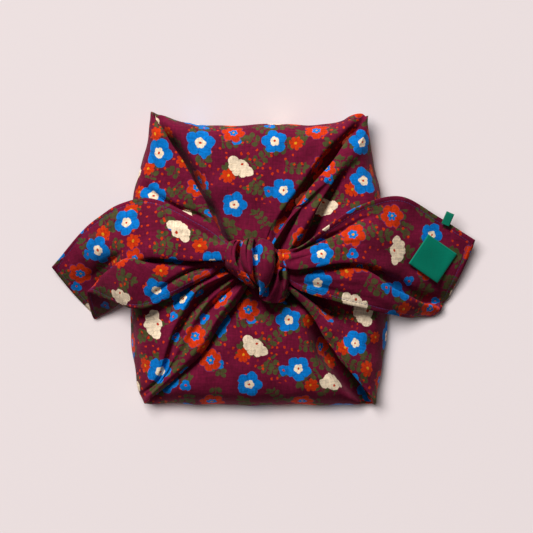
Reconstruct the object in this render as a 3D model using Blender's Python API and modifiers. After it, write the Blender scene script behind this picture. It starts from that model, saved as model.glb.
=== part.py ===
"""A furoshiki wrap: one hemmed square of printed cloth, tied by two of its corners over a soft, flat gift.

Seen from above, +X is right, +Y is up the page and +Z points at the viewer. The wrap lies on z = 0,
with the middle of its underside at the origin.

The cloth is one piece, so it is one solid, a union of four forms:
  the bundle  a filled form whose surface runs along named folds, from under the knot to the underside
  two tails   the cloth's two free corners, thin sheets that fold back and forth as they leave the knot
  the knot    the pleated band that holds them
The square label and the small tab of ribbon sewn to the right tail are pieces of their own.
"""

import bmesh
import bpy
import numpy as np
from mathutils import Vector
from mathutils.bvhtree import BVHTree

MM = 0.001

# Driving sizes, in millimetres.
CLOTH = 1.6  # the tails' sheet, with its hem and the air that soft cloth holds
KNOT_FLOOR = 38.0  # the knot's solid ends here, inside the bundle
BUNDLE_TOP_UNDER_KNOT = (-3.0, -2.0, 46.0)
HIP_HEIGHT = 6.0  # where the bundle's sides start to turn under
HIP_INSET = 2.0
FOOT_INSET = 7.0  # the flat underside stops this far inside the sides
CORNER_RADIUS = 16.0  # of the underside, seen from above
BASE_HALF_WIDTH = 106.0
BASE_HALF_LENGTH = 117.5
LABEL_SIDE = 29.5
LABEL_THICKNESS = 1.0
LABEL_CENTRE = (145.8, 4.4)
LABEL_TURN = -34.0  # degrees: its sides follow the corner's two hems
TAB_WIDTH = 7.0
TAB_LENGTH = 10.5
TAB_ON_HEM = 3.2  # the length of it that is sewn down
TAB_THICKNESS = 1.5  # two layers of ribbon, pressed flat
TAB_START = (156.2, 33.2)  # its sewn end, on the tail's upper hem
TAB_TURN = 66.0  # degrees from +X: it points away from the hem
SEAM_GAP = 0.35  # between the cloth and what is sewn to it

# How finely each form is drawn: steps from point to point along a fold, and from fold to fold.
BUNDLE_STEPS = (3, 3)
KNOT_STEPS = (3, 2)
TAIL_STEPS = (3, 3)
LABEL_SEAT_POINTS = 9  # on each side of the square where the cloth's height is read
TAB_SEAT_POINTS = 5
LEAST_TURN = 0.35  # degrees between neighbouring folds where they meet the underside

# The bundle's folds, clockwise from the middle of the top flap. Each row is one fold, ridge or valley:
# where it comes out from under the knot, two places on the way, where it goes over the shoulder, and
# the widest place of the side below it. Where a wing folds back over a flap, the rows turn back too.
BUNDLE_COLUMNS = ("knot", "inner", "outer", "shoulder", "side")
BUNDLE_FOLDS = {
    "top middle": (
        (-2.5, 22, 47), (-1.5, 49.5, 46), (-1, 83, 44), (0, 110, 38), (0, 117, 22),
    ),
    "top right": (
        (6, 20, 47), (20, 49.5, 46), (37, 83, 43), (53, 109, 38), (55.5, 116, 22),
    ),
    "top by right wing": (
        (11, 17, 47), (28.5, 49.5, 44), (55.5, 86.5, 41), (77.5, 111.5, 36), (82, 120, 27),
    ),
    "top under right wing": (
        (14.5, 12, 46), (37, 42, 43), (64.5, 78, 40), (85, 107.5, 35), (89, 122, 27),
    ),
    "upper right fold, inside": (
        (13.5, 14.5, 50), (35.5, 44.5, 46.5), (63, 80.5, 43.5), (84, 110, 38), (90.5, 123, 30),
    ),
    "upper right fold, edge": (
        (11, 17.5, 53), (31, 46, 49), (59.5, 84, 45), (81.5, 112.5, 40), (91.5, 124, 32),
    ),
    "upper right roll": (
        (15, 17, 57), (37, 39.5, 53), (64.5, 69, 49), (88, 102.5, 42), (95, 117.5, 30),
    ),
    "upper right groove": (
        (22.5, 13.5, 53), (44.5, 28.5, 48), (72, 55.5, 46), (94, 83, 40.5), (101.5, 87.5, 24),
    ),
    "right wing, upper": (
        (24.5, 10, 50), (53, 20, 47), (80.5, 35.5, 45.5), (100, 49.5, 40), (105, 51, 22),
    ),
    "right wing, middle": (
        (25, 1.5, 50), (55.5, 1.5, 46), (80.5, 1.5, 43.5), (101, 1.5, 39), (106.5, 1.5, 20),
    ),
    "right wing, lower": (
        (24.5, -6.5, 50), (53, -17.5, 46), (78, -32, 43), (98.5, -45.5, 38), (106, -48.5, 20),
    ),
    "lower right groove": (
        (31, -18.5, 50), (44.5, -27.5, 46), (68, -47, 43.5), (90.5, -74, 38), (102.5, -84, 22),
    ),
    "lower right roll": (
        (29.5, -22, 53), (43.5, -33, 50), (64.5, -59, 46), (88, -90, 39.5), (99, -104, 24),
    ),
    "lower right fold, edge": (
        (26, -22.5, 51), (40.5, -38.5, 47.5), (59.5, -69, 44), (84, -99, 38), (97.5, -116.5, 28),
    ),
    "lower right fold, inside": (
        (27, -19.5, 48), (43.5, -36, 44.5), (63, -64.5, 41.5), (85.5, -96, 35.5), (96.5, -117, 22),
    ),
    "bottom under right wing": (
        (27.5, -17.5, 45), (48, -33.5, 42), (67, -60.5, 39.5), (87.5, -92.5, 33.5), (93, -117.5, 17),
    ),
    "bottom by right wing": (
        (22.5, -27, 46), (36, -40.5, 43.5), (54.5, -69.5, 41), (78, -102.5, 35), (88, -117.5, 18),
    ),
    "bottom right": (
        (13.5, -30, 46.5), (23.5, -47, 45.5), (34.5, -74, 43.5), (49.5, -109, 37), (51, -118, 20),
    ),
    "bottom middle": (
        (2.5, -32, 47), (1, -48.5, 46), (-1, -76.5, 44.5), (-1.5, -110, 38), (-1.5, -118.5, 20),
    ),
    "bottom left": (
        (-4, -27, 46.5), (-17.5, -50.5, 45.5), (-34.5, -79, 43.5), (-47, -109, 37), (-49.5, -118, 20),
    ),
    "bottom by left wing": (
        (-8.5, -24.5, 46), (-25, -50.5, 43.5), (-43, -76.5, 41), (-75, -108.5, 35), (-85.5, -117.5, 18),
    ),
    "bottom under left wing": (
        (-12.5, -18.5, 45), (-33.5, -41, 42), (-55.5, -67, 39.5), (-83, -101, 33.5), (-91.5, -117.5, 17),
    ),
    "lower left fold, inside": (
        (-10, -20, 48), (-30, -44.5, 44.5), (-50.5, -71.5, 41.5), (-81.5, -103.5, 35.5), (-94.5, -117, 22),
    ),
    "lower left fold, edge": (
        (-8.5, -20, 51), (-27, -46, 47.5), (-45.5, -74, 44), (-77.5, -104, 38), (-96, -116.5, 28),
    ),
    "lower left roll": (
        (-13.5, -16, 55), (-32, -40.5, 51.5), (-52, -70.5, 46.5), (-81.5, -101.5, 39.5), (-97, -115, 26),
    ),
    "lower left valley": (
        (-19.5, -11, 52), (-43, -34.5, 46), (-63, -66.5, 43), (-86.5, -99, 38), (-99, -111.5, 24),
    ),
    "left ridge": (
        (-27.5, -3.5, 51), (-52, -23.5, 49.5), (-72, -57, 47.5), (-89, -94, 40), (-100, -107.5, 24),
    ),
    "left groove": (
        (-31, -1.5, 50), (-58, -22, 45), (-80, -48.5, 44), (-96.5, -79, 38), (-103.5, -87.5, 22),
    ),
    "left wing, lower": (
        (-32, 0, 50), (-62, -12, 45.5), (-87.5, -28.5, 43.5), (-101.5, -48.5, 38.5), (-106.5, -50.5, 20),
    ),
    "left wing, middle": (
        (-32, 3.5, 50), (-59.5, 3.5, 46), (-85, 3.5, 43.5), (-102.5, 1.5, 39), (-108.5, 1.5, 20),
    ),
    "left wing, upper": (
        (-31, 12, 51), (-58, 30, 48), (-83, 52, 46), (-100, 62, 39.5), (-105.5, 64, 21),
    ),
    "left wing, top": (
        (-31, 15, 55), (-54.5, 43.5, 50), (-76.5, 75.5, 46.5), (-92.5, 96, 40.5), (-99, 98.5, 24),
    ),
    "upper left roll": (
        (-31, 17.5, 57), (-50.5, 52, 51.5), (-69.5, 86.5, 47.5), (-87.5, 114, 41.5), (-93, 120, 29),
    ),
    "upper left fold, edge": (
        (-27.5, 18.5, 54), (-45.5, 53, 48.5), (-64.5, 87.5, 44.5), (-83, 116, 39.5), (-90.5, 127.5, 31),
    ),
    "upper left fold, inside": (
        (-30, 14.5, 50), (-48.5, 49.5, 46), (-68, 84, 43), (-85, 112.5, 37.5), (-89, 126.5, 29),
    ),
    "top under left wing": (
        (-31, 10, 46), (-51, 44.5, 43), (-71.5, 79, 40), (-85.5, 108.5, 35), (-86.5, 124.5, 26),
    ),
    "top by left wing": (
        (-22.5, 17, 46.5), (-42, 54.5, 44), (-60.5, 90, 41), (-78, 115, 36), (-80, 122.5, 26),
    ),
    "top left": (
        (-12.5, 20, 47), (-24.5, 51, 46), (-38.5, 83, 43.5), (-47, 109, 38), (-49.5, 116, 22),
    ),
}

# The tails' folds, from the upper hem to the lower one, each read from the knot out to the tail's end.
# The sheet folds back and forth once: the panel passes under its front flap at the tucked fold.
TAIL_COLUMNS = ("knot", "root", "inner", "shoulder", "edge", "outer", "end")
LEFT_TAIL_FOLDS = {
    "upper hem": (
        (-22.5, 15, 60), (-36, 27.5, 58.5), (-58, 41, 56), (-90, 54.5, 51),
        (-112.5, 51, 45), (-142, 33, 30), (-174.5, -2.5, 13),
    ),
    "upper panel": (
        (-22.5, 12, 63), (-36, 17.5, 62.5), (-58, 24.5, 60.5), (-90, 32, 56.5),
        (-115, 27, 49), (-142, 10, 30), (-167, -12, 9),
    ),
    "panel rim": (
        (-22, 6.5, 62), (-33.5, 5, 61), (-58, 5, 58.5), (-90, 8, 54.5),
        (-110, 0, 45.5), (-129, -14, 18), (-155.5, -26, 5),
    ),
    "tucked fold, back": (
        (-20, 8, 57.5), (-31, 8, 56), (-56.5, 9, 53), (-88, 7.5, 47),
        (-105, -17, 43.5), (-121, -34.5, 14), (-138, -45, 2),
    ),
    "tucked fold, front": (
        (-18.5, 3, 55.5), (-30, 2, 54.5), (-56, 3, 51.5), (-86, -2, 48.5),
        (-104.5, -23.5, 48.5), (-124.5, -38, 17), (-139.5, -45.5, 6),
    ),
    "front ridge, back": (
        (-17.5, 1, 56), (-29.5, -1, 55.8), (-56.5, 0.5, 54), (-88, 0.5, 52),
        (-109, 3, 52), (-130, -9, 38), (-144, -25, 23.5),
    ),
    "front ridge, front": (
        (-17.5, -0.5, 56.7), (-29.5, -4, 56.8), (-56.5, -3.5, 55.6), (-88, -3, 54.5),
        (-108.5, 3.5, 56), (-127.5, -9, 42.5), (-141.5, -23.5, 27.5),
    ),
    "front flap": (
        (-16, -2, 55.5), (-29.5, -7, 55), (-56.5, -11, 54.5), (-86.5, -17, 53.5),
        (-105, -17, 56.5), (-117.5, -20, 47), (-129, -28, 31),
    ),
    "front hem": (
        (-14.5, -4.5, 53.5), (-29.5, -12, 53.5), (-54.5, -21, 53), (-80, -34.5, 49.5),
        (-95, -37, 49.5), (-105, -36, 47.5), (-112.5, -33.5, 41),
    ),
}
RIGHT_TAIL_FOLDS = {
    "upper hem": (
        (16, 12, 60), (32, 13.5, 58.5), (55.5, 29.5, 57), (83, 45.5, 53),
        (117, 56.5, 41), (150.5, 39.5, 28), (181.5, 20, 23),
    ),
    "hem groove": (
        (16, 9, 60), (33, 10, 58.5), (57, 22.5, 56), (85.5, 35.5, 52.5),
        (118.5, 43.5, 40.5), (147, 30, 28), (179, 12.5, 21.5),
    ),
    "upper panel": (
        (16, 6, 62), (33.5, 6, 62), (58, 13.5, 61), (87.5, 22, 58),
        (118.5, 23.5, 41), (144.5, 12, 28.5), (174, 1, 19),
    ),
    "lower panel": (
        (17, 1.5, 62), (33.5, 1, 62), (60.5, 6, 61), (88, 8.5, 57),
        (117, 3.5, 38.5), (143.5, -8.5, 24.5), (168, -11, 16),
    ),
    "panel rim": (
        (17.5, -2.5, 60), (33, -5, 60), (62, 0, 58), (88, 1, 54),
        (115, -8.5, 37), (140.5, -22, 20.5), (163, -21, 12.5),
    ),
    "tucked fold, back": (
        (19, 0, 57), (34, -2, 55.5), (63, 4, 52.5), (87, 2, 48),
        (112.5, -12.5, 35), (137, -26.5, 17), (160, -27.5, 9.5),
    ),
    "tucked fold, front": (
        (19, -5, 55), (34, -7.5, 53.5), (63, -2.5, 51), (86.5, -4.5, 47.5),
        (109.5, -19.5, 36.5), (132, -32, 17.5), (155.5, -33, 8.5),
    ),
    "front ridge": (
        (20, -8, 55.5), (33.5, -11, 55.5), (62.5, -7, 54.5), (86.5, -6, 53),
        (111, -20.5, 44.5), (133.5, -32.5, 28), (153, -38.5, 13),
    ),
    "front flap": (
        (21, -11, 54.5), (33.5, -16, 54), (62, -19, 53.5), (86.5, -22, 51.5),
        (108.5, -31, 44.5), (130, -39.5, 26), (147, -43, 9.5),
    ),
    "front hem": (
        (22.5, -13, 53), (33, -21, 51.5), (62, -30.5, 49), (86.5, -36.5, 46),
        (108.5, -41.5, 38), (126, -44.5, 21), (140.5, -44.5, 7.5),
    ),
}

# The knot's pleats, from its left side to its right one, each read from behind the band, over its
# crown and down to where it tucks in at the front.
KNOT_COLUMNS = ("behind", "brow", "crown", "waist", "front", "tucked in")
KNOT_FOLDS = {
    "left side": (
        (-31, 17, 50), (-31.5, 14.5, 57), (-31.5, 6.5, 58), (-27, -3.5, 57), (-13.5, -15, 55), (-5, -21, 50),
    ),
    "first pleat": (
        (-24.5, 17.5, 52), (-26, 17.5, 62), (-25.5, 7.5, 69), (-21, -3.5, 68), (-10, -13.5, 62), (-3.5, -20, 53),
    ),
    "first crest": (
        (-17.5, 19.5, 54), (-20, 19.5, 64), (-22, 9, 71), (-17.5, -1.5, 71), (-8.5, -12, 64), (-2.5, -19.5, 54),
    ),
    "first groove": (
        (-11, 20, 52), (-14.5, 18.5, 60), (-17, 10, 66), (-15.5, 0, 66), (-8.5, -11, 61), (-1.5, -18.5, 53),
    ),
    "second pleat": (
        (-6.5, 22, 54), (-9, 21, 65), (-11, 10, 73), (-9, -1, 73), (-5, -11, 66), (-1, -18.5, 55),
    ),
    "second groove": (
        (-1.5, 21, 53), (-3, 18.5, 62), (-3.5, 10, 68), (-3, 0, 68), (-2, -11, 62), (0, -18.5, 54),
    ),
    "third pleat": (
        (4, 21, 54), (3.5, 20, 65), (3.5, 10, 74), (3.5, 0, 74), (2, -10, 67), (1.5, -19.5, 56),
    ),
    "band edge": (
        (10, 17.5, 53), (11, 17.5, 61), (12, 10, 70), (12, 0, 70), (9, -11, 64), (4, -21, 55),
    ),
    "under the band": (
        (11, 13.5, 51), (12, 13.5, 55), (13.5, 8.5, 60), (13.5, -1.5, 61), (11.5, -12.5, 58), (7.5, -23.5, 52),
    ),
    "end pleat": (
        (13.5, 12, 50), (15, 12, 56), (16.5, 6, 63), (17, -3.5, 65), (15.5, -16, 61), (11, -30, 51),
    ),
    "end groove": (
        (17, 10, 49), (17.5, 10, 54), (19.5, 3.5, 59), (20, -5, 61), (19.5, -17.5, 58), (16, -31, 50),
    ),
    "end strand": (
        (18.5, 9, 49), (19.5, 9, 54), (22, 1.5, 60), (23, -7.5, 62), (22.5, -19.5, 58), (19.5, -31, 50),
    ),
    "right side": (
        (20, 7.5, 48), (21, 6.5, 50), (24.5, -1.5, 51), (26, -11, 51.5), (25.5, -21, 50.5), (22.5, -30, 47),
    ),
}

COLLECTION_NAME = "furoshiki_wrap"
BURGUNDY = (0.155, 0.008, 0.032, 1.0)
LABEL_GREEN = (0.0, 0.19, 0.085, 1.0)
RIBBON_GREEN = (0.0, 0.16, 0.07, 1.0)


# ---- Curves and grids -------------------------------------------------------------------------


def grid_of(folds):
    """A table of folds as an array: one row of points for each fold, in metres."""
    return np.array(list(folds.values()), dtype=float) * MM


def smooth(points, steps, closed=False):
    """Points along a smooth curve through the given rows, with this many steps from row to row.

    The curve is a centripetal Catmull-Rom spline along the first axis, so it keeps tight folds
    tight and never swings past them.
    """
    if closed:
        padded = np.concatenate([points[-1:], points, points[:2]])
    else:
        before = 2 * points[:1] - points[1:2]
        after = 2 * points[-1:] - points[-2:-1]
        padded = np.concatenate([before, points, after])
    found = []
    for p0, p1, p2, p3 in zip(padded, padded[1:], padded[2:], padded[3:]):
        t1 = spacing(p0, p1)
        t2 = t1 + spacing(p1, p2)
        t3 = t2 + spacing(p2, p3)
        for step in range(steps):
            t = t1 + (t2 - t1) * step / steps
            a1 = mix(p0, p1, t / t1)
            a2 = mix(p1, p2, (t - t1) / (t2 - t1))
            a3 = mix(p2, p3, (t - t2) / (t3 - t2))
            b1 = mix(a1, a2, t / t2)
            b2 = mix(a2, a3, (t - t1) / (t3 - t1))
            found.append(mix(b1, b2, (t - t1) / (t2 - t1)))
    if not closed:
        found.append(points[-1])
    return np.array(found)


def smooth_both_ways(grid, steps, closed=False):
    """A grid of folds drawn finer: first along each fold, then from fold to fold."""
    along, across = steps
    finer = np.swapaxes(smooth(np.swapaxes(grid, 0, 1), along), 0, 1)
    return smooth(finer, across, closed)


def spacing(start, end):
    """The spline's step between two points: the root of their distance, never quite nothing."""
    return np.sqrt(np.maximum(np.linalg.norm(end - start, axis=-1, keepdims=True), 1e-7))


def mix(start, end, share):
    return start * (1 - share) + end * share


def grid_faces(rows, columns, closed=False):
    """Quads between neighbouring rows of a grid whose points are numbered row by row."""
    faces = []
    for row in range(rows if closed else rows - 1):
        here = row * columns
        there = (row + 1) % rows * columns
        for column in range(columns - 1):
            faces.append((here + column, here + column + 1, there + column + 1, there + column))
    return faces


# ---- Objects ----------------------------------------------------------------------------------


def clear_scene():
    for thing in list(bpy.data.objects):
        bpy.data.objects.remove(thing)


def new_collection(name):
    collection = bpy.data.collections.new(name)
    bpy.context.scene.collection.children.link(collection)
    return collection


def cloth_material(name, colour, roughness):
    material = bpy.data.materials.new(name)
    material.use_nodes = True
    shader = material.node_tree.nodes["Principled BSDF"]
    shader.inputs["Base Color"].default_value = colour
    shader.inputs["Roughness"].default_value = roughness
    shader.inputs["Metallic"].default_value = 0.0
    return material


def new_object(name, points, faces, collection, material):
    mesh = bpy.data.meshes.new(name)
    mesh.from_pydata([tuple(point) for point in points], [], faces)
    mesh.shade_smooth()
    mesh.materials.append(material)
    thing = bpy.data.objects.new(name, mesh)
    collection.objects.link(thing)
    face_outwards(mesh)
    return thing


def face_outwards(mesh):
    shape = bmesh.new()
    shape.from_mesh(mesh)
    bmesh.ops.recalc_face_normals(shape, faces=shape.faces)
    shape.to_mesh(mesh)
    shape.free()


def thicken(thing, thickness):
    """Gives an open sheet its thickness, half to each side."""
    wall = thing.modifiers.new("thickness", "SOLIDIFY")
    wall.thickness = thickness
    wall.offset = 0.0
    return wall


def hide(helper):
    helper.hide_render = True
    helper.display_type = "WIRE"


# ---- The bundle -------------------------------------------------------------------------------


def base_outline(angles, inset):
    """Points on the underside's rounded rectangle, in these directions from its middle."""
    half = np.array([BASE_HALF_WIDTH, BASE_HALF_LENGTH]) - inset
    direction = np.stack([np.cos(angles), np.sin(angles)], axis=1)
    straight = direction / np.max(np.abs(direction) / half, axis=1, keepdims=True)
    inner = half - CORNER_RADIUS
    centre = np.clip(straight, -inner, inner)
    away = straight - centre
    reach = np.linalg.norm(away, axis=1, keepdims=True)
    return centre + away * np.minimum(1.0, CORNER_RADIUS / np.maximum(reach, 1e-9))


def bundle_grid():
    """The folds' rows, each carried on round the side to the rim of the flat underside."""
    rows = grid_of(BUNDLE_FOLDS) / MM
    sides = rows[:, BUNDLE_COLUMNS.index("side")]
    angles = np.unwrap(np.arctan2(sides[:, 1], sides[:, 0]))
    # Clockwise, so the angles fall from row to row. A row that turns back still gets a place of its own.
    for row in range(1, len(angles)):
        angles[row] = min(angles[row], angles[row - 1] - np.radians(LEAST_TURN))
    hip = np.column_stack([base_outline(angles, HIP_INSET), np.full(len(rows), HIP_HEIGHT)])
    foot = np.column_stack([base_outline(angles, FOOT_INSET), np.zeros(len(rows))])
    return np.concatenate([rows, hip[:, None], foot[:, None]], axis=1) * MM


def build_bundle(collection, material):
    """The filled form: rows of folds joined into one skin, closed under the knot and underneath."""
    around = smooth_both_ways(bundle_grid(), BUNDLE_STEPS, closed=True)
    around[:, :, 2] = np.maximum(around[:, :, 2], 0.0)
    around[:, -1, 2] = 0.0
    rows, columns = around.shape[:2]
    points = list(around.reshape(-1, 3))
    faces = grid_faces(rows, columns, closed=True)
    top = len(points)
    points.append(np.array(BUNDLE_TOP_UNDER_KNOT) * MM)
    points.append(np.zeros(3))
    for row in range(rows):
        after = (row + 1) % rows
        faces.append((top, row * columns, after * columns))
        faces.append((top + 1, after * columns + columns - 1, row * columns + columns - 1))
    return new_object("wrap_cloth", points, faces, collection, material)


# ---- The knot and the tails -------------------------------------------------------------------


def build_knot(collection, material):
    """The pleated band, closed by a floor inside the bundle."""
    grid = smooth_both_ways(grid_of(KNOT_FOLDS), KNOT_STEPS)
    rows, columns = grid.shape[:2]
    points = list(grid.reshape(-1, 3))
    faces = grid_faces(rows, columns)
    rim = list(range(columns))
    rim += [row * columns + columns - 1 for row in range(1, rows)]
    rim += [(rows - 1) * columns + column for column in range(columns - 2, -1, -1)]
    rim += [row * columns for row in range(rows - 2, 0, -1)]
    floor = len(points)
    for corner in rim:
        below = points[corner].copy()
        below[2] = KNOT_FLOOR * MM
        points.append(below)
    for place, corner in enumerate(rim):
        after = (place + 1) % len(rim)
        faces.append((corner, rim[after], floor + after, floor + place))
    faces.append(tuple(floor + place for place in range(len(rim))))
    return new_object("knot", points, faces, collection, material)


def build_tail(name, folds, collection, material):
    """A free corner of the cloth: one sheet over its folds, rooted inside the knot."""
    grid = smooth_both_ways(grid_of(folds), TAIL_STEPS)
    rows, columns = grid.shape[:2]
    tail = new_object(name, grid.reshape(-1, 3), grid_faces(rows, columns), collection, material)
    thicken(tail, CLOTH * MM)
    return tail


def join_into(cloth, forms):
    for form in forms:
        union = cloth.modifiers.new("join " + form.name, "BOOLEAN")
        union.operation = "UNION"
        union.solver = "EXACT"
        union.use_self = True
        union.object = form
        hide(form)


# ---- What is sewn to the right tail -----------------------------------------------------------


def places_on(centre, turn, size, steps):
    """A square grid of places seen from above, turned by this many degrees."""
    turn = np.radians(turn)
    across = np.array([np.cos(turn), np.sin(turn)])
    along = np.array([-np.sin(turn), np.cos(turn)])
    shares = np.linspace(-0.5, 0.5, steps)
    return [np.array(centre) + across * u * size[0] + along * v * size[1] for v in shares for u in shares]


def plane_over(cloth_tree, places):
    """The plane that best fits the cloth below these places, lifted until it clears all of it."""
    hits = []
    for x, y in places:
        hit = cloth_tree.ray_cast(Vector((x * MM, y * MM, 1.0)), Vector((0, 0, -1)))[0]
        if hit is not None:
            hits.append(np.array(hit) / MM)
    hits = np.array(hits)
    flat = np.column_stack([hits[:, :2], np.ones(len(hits))])
    plane = np.linalg.lstsq(flat, hits[:, 2], rcond=None)[0]
    plane[2] += np.max(hits[:, 2] - flat @ plane)
    return plane


def sew_on(name, tree, centre, turn, size, thickness, seat, collection, material):
    """A small flat piece, a seam's gap above the plane of the cloth at its seat."""
    slope_x, slope_y, level = plane_over(tree, seat)
    steepness = np.sqrt(1 + slope_x**2 + slope_y**2)
    level += (SEAM_GAP + thickness / 2) * steepness
    points = [(x, y, slope_x * x + slope_y * y + level) for x, y in places_on(centre, turn, size, 2)]
    piece = new_object(name, np.array(points) * MM, grid_faces(2, 2), collection, material)
    thicken(piece, thickness * MM)
    return piece


def sew_on_label(tree, collection, material):
    size = (LABEL_SIDE, LABEL_SIDE)
    seat = places_on(LABEL_CENTRE, LABEL_TURN, size, LABEL_SEAT_POINTS)
    return sew_on(
        "sewn_label", tree, LABEL_CENTRE, LABEL_TURN, size, LABEL_THICKNESS, seat, collection, material
    )


def sew_on_tab(tree, collection, material):
    """The loop tab: its sewn end lies on the hem and the rest stands out past the cloth's edge."""
    out = np.array([np.cos(np.radians(TAB_TURN)), np.sin(np.radians(TAB_TURN))])
    size = (TAB_LENGTH, TAB_WIDTH)
    centre = np.array(TAB_START) + out * TAB_LENGTH / 2
    sewn_part = np.array(TAB_START) + out * TAB_ON_HEM / 2
    seat = places_on(sewn_part, TAB_TURN, (TAB_ON_HEM, TAB_WIDTH), TAB_SEAT_POINTS)
    return sew_on("loop_tab", tree, centre, TAB_TURN, size, TAB_THICKNESS, seat, collection, material)


def main():
    clear_scene()
    collection = new_collection(COLLECTION_NAME)
    helpers = new_collection("forms_joined_into_the_cloth")
    print_material = cloth_material("printed_cloth", BURGUNDY, 0.75)
    green = cloth_material("woven_label", LABEL_GREEN, 0.7)
    ribbon = cloth_material("loop_ribbon", RIBBON_GREEN, 0.7)

    cloth = build_bundle(collection, print_material)
    knot = build_knot(helpers, print_material)
    left_tail = build_tail("left_tail", LEFT_TAIL_FOLDS, helpers, print_material)
    right_tail = build_tail("right_tail", RIGHT_TAIL_FOLDS, helpers, print_material)
    join_into(cloth, (knot, left_tail, right_tail))

    tail_tree = BVHTree.FromObject(right_tail, bpy.context.evaluated_depsgraph_get())
    sew_on_label(tail_tree, collection, green)
    sew_on_tab(tail_tree, collection, ribbon)


main()
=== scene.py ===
# %% [markdown]
# # A furoshiki wrap, dressed
#
# The object is one hemmed square of printed cotton, about 70 cm on a side, folded round a soft, flat
# gift and tied over the middle by two of its corners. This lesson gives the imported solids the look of
# that cloth: soft, uneven folds, a hem with its stitches, and a print that bends with every fold.

import math
from functools import partialmethod
from types import SimpleNamespace

import bpy
import numpy as np
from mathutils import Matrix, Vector
from mathutils.bvhtree import BVHTree


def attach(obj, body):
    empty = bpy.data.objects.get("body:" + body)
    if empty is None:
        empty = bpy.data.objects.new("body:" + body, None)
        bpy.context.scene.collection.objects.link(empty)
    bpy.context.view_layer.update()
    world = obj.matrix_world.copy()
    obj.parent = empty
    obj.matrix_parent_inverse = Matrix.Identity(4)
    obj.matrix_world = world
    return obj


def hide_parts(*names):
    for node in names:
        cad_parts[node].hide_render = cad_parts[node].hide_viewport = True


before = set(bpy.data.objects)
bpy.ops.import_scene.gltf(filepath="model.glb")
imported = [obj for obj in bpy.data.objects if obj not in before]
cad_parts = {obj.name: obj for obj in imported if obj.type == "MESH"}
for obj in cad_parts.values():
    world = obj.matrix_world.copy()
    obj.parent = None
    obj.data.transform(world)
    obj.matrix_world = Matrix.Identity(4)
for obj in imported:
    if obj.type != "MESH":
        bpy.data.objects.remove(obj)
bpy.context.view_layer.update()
MM = 0.001

# %% [markdown]
# ## The camera and the floor
# The wrap is seen from straight above, through a long lens far away: a short lens close by would make
# the knot look too large. The floor is one plain pale plane, too large for its edge to be seen.

# %% Camera and floor
MIDDLE_OF_VIEW = (6.3, -2.1)  # millimetres from the middle of the bundle
VIEW_WIDTH = 447.7  # millimetres of floor across the image
CAMERA_HEIGHT = 3.0
CLOTH_LEVEL = 0.022  # the width above is measured at this height

eye = bpy.data.cameras.new("eye")
eye.sensor_width = 36.0
eye.lens = eye.sensor_width * (CAMERA_HEIGHT - CLOTH_LEVEL) / (VIEW_WIDTH * MM)
eye.clip_end = 20.0
camera = bpy.data.objects.new("camera", eye)
camera.location = (MIDDLE_OF_VIEW[0] * MM, MIDDLE_OF_VIEW[1] * MM, CAMERA_HEIGHT)
bpy.context.scene.collection.objects.link(camera)
bpy.context.scene.camera = camera

bpy.ops.object.select_all(action="DESELECT")
bpy.ops.mesh.primitive_plane_add(size=30, location=(0, 0, 0))
floor = bpy.context.active_object
floor.name = "floor"
print("lens in millimetres:", round(eye.lens, 1))

# %% [markdown]
# ## The light
# Soft daylight from a large window beyond the top edge, a little to the left, gives each ridge a light
# upper side and a dark lower one. The window's size sets how soft the shadows in the folds are. The
# paper has a lamp of its own, nearly overhead, which keeps the shadow on the table short and faint.
# Light linking keeps the window's light on the cloth. A pale sky fills in the rest.


# %% Lamps and sky
def add_lamp(name, place, size, power):
    """A square lamp of soft light that looks at the wrap, and the collection of what it lights."""
    light = bpy.data.lights.new(name, "AREA")
    light.shape = "SQUARE"
    light.size = size
    light.energy = power
    lamp = bpy.data.objects.new(name, light)
    lamp.location = place
    lamp.rotation_euler = (-Vector(place)).to_track_quat("-Z", "Y").to_euler()
    bpy.context.scene.collection.objects.link(lamp)
    lit = bpy.data.collections.new("lit by the " + name)
    lamp.light_linking.receiver_collection = lit
    return lit


lit_by_window = add_lamp("window", place=(-1.5, 4.0, 3.5), size=1.6, power=395.0)
lit_by_paper_lamp = add_lamp("paper lamp", place=(-2.4, 2.8, 10.4), size=5.0, power=1275.0)
lit_by_paper_lamp.objects.link(floor)
sky = bpy.data.worlds.new("sky")
sky.use_nodes = True
sky.node_tree.nodes["Background"].inputs["Color"].default_value = (1.0, 0.95, 0.95, 1)
sky.node_tree.nodes["Background"].inputs["Strength"].default_value = 0.10
bpy.context.scene.world = sky
bpy.context.scene.view_settings.view_transform = "Standard"

# %% [markdown]
# ## Folds, written as tables
# The shape of tied cloth is the shape of its folds. Each row of a table is one fold, ridge or valley:
# its name, and the points where it runs, in millimetres from the middle of the underside. A line that
# ends in a comma goes on in the next. Where a wing folds back over a flap, the rows turn back too, so
# that the wing's edge overhangs the flap and throws a real shadow on it.


# %% The folds of the bundle, the tails and the knot
def rows_in(table):
    """The rows of a table: what stands before the colon, and the points after it, as numbers."""
    for row in table.replace(",\n", ",").strip().split("\n"):
        name, points = row.split(":")
        yield name, [[float(number) for number in point.split()] for point in points.split(",")]


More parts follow.
